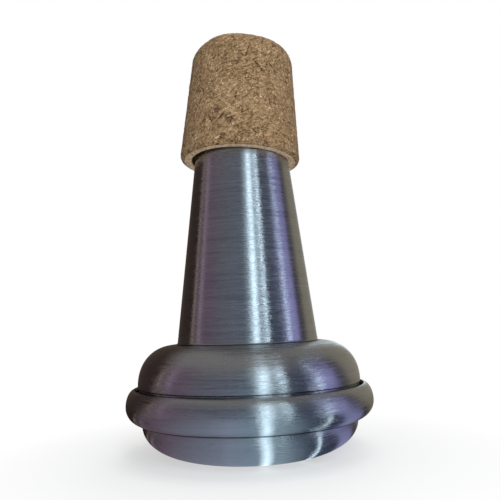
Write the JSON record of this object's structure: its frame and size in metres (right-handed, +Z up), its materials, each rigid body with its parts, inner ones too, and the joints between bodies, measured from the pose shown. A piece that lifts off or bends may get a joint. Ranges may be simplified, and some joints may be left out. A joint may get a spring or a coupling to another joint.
{
  "type": "suona mute",
  "caption": "Hollow bell mute for a suona: spun aluminium pot with a rolled bead and a tall cone, vented below, and a tapered cork collar that wedges in the bell.",
  "frame": {"origin": "centre of the flat vented underside, on the surface that the mute stands on", "axes": "+Z up along the mute's axis, from the underside to the cork collar; +X to the right of the pictured side, which faces -Y"},
  "size_m": [0.068, 0.068, 0.1165],
  "materials": {
    "spun_shell": "satin, fine lines round the axis from spinning",
    "spun_base": "satin, fine lines round the axis from spinning",
    "cork": "agglomerated cork, sanded",
    "contact_cement": "dried amber film",
    "seam_resin": "cured grey resin",
    "felt": "pressed grey felt"
  },
  "bodies": {
    "root": {"body_shell": "spun_shell", "base_cup": "spun_base", "cork_collar": "cork", "cork_cement": "contact_cement", "seam_cement": "seam_resin", "damping_felt": "felt"}
  },
  "joints": []
}
